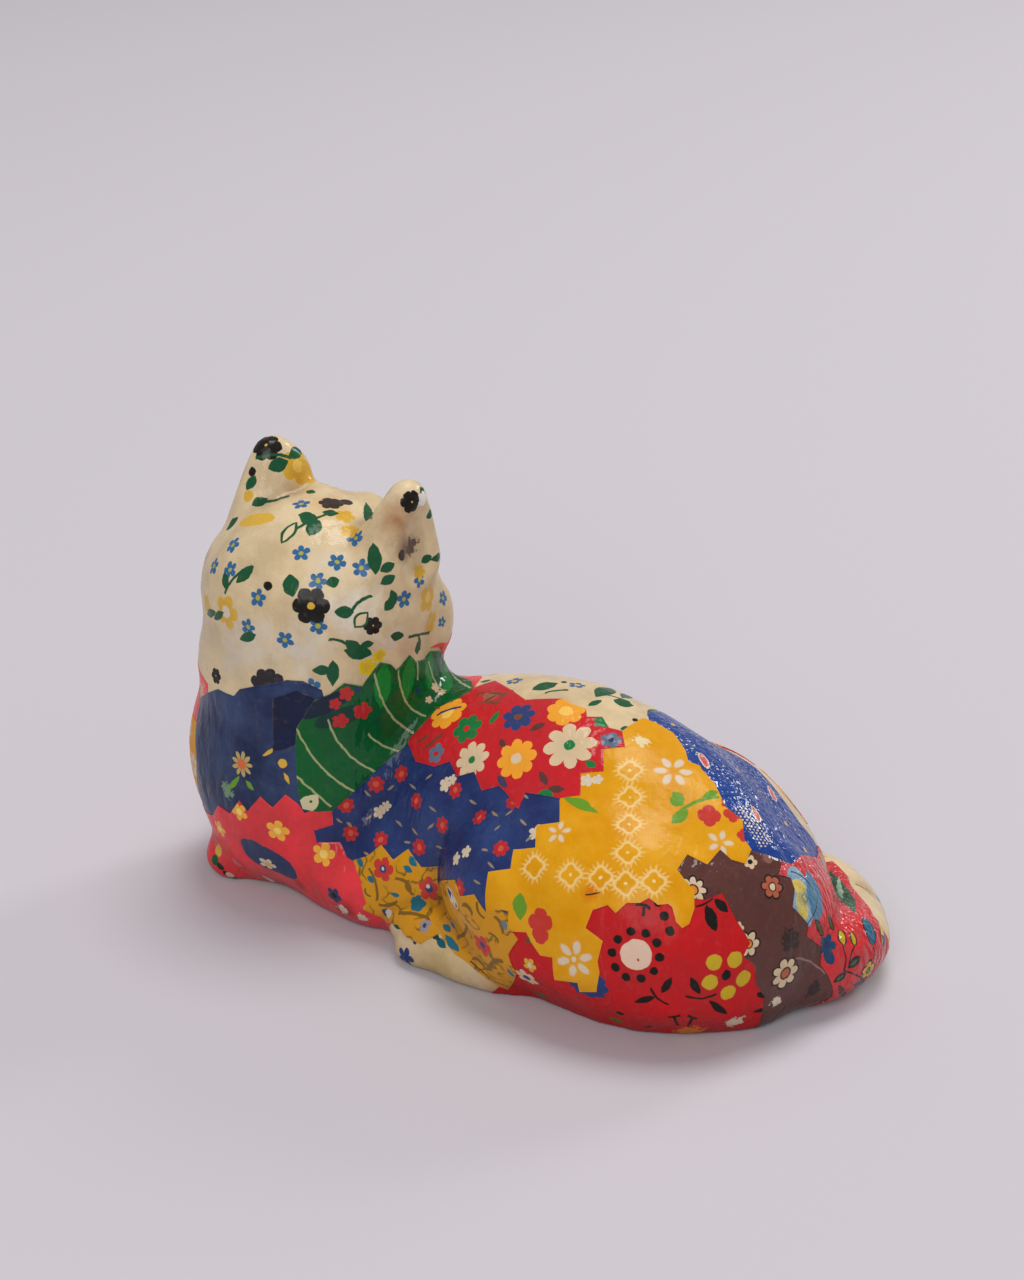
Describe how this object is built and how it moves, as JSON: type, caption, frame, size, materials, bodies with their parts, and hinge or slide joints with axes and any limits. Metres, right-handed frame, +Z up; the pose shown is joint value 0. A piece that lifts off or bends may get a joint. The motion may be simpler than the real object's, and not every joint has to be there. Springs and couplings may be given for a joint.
{
  "type": "patchwork cat sculpture",
  "caption": "Papier-mache cat lying on its belly, head turned to one side and tail round the far hip, covered in varnished scraps of printed cotton; stands on its flat underside.",
  "frame": {"origin": "centre of the bounding box, on the flat underside", "axes": "+X from the chest to the rump along the body, +Y towards the side the face looks to, +Z up"},
  "size_m": [0.15, 0.0812, 0.0949],
  "materials": {
    "printed_cotton": "pinked scraps of many printed cottons under glossy, slightly yellowed varnish"
  },
  "bodies": {
    "root": {"patchwork_cat": "printed_cotton"}
  },
  "joints": []
}
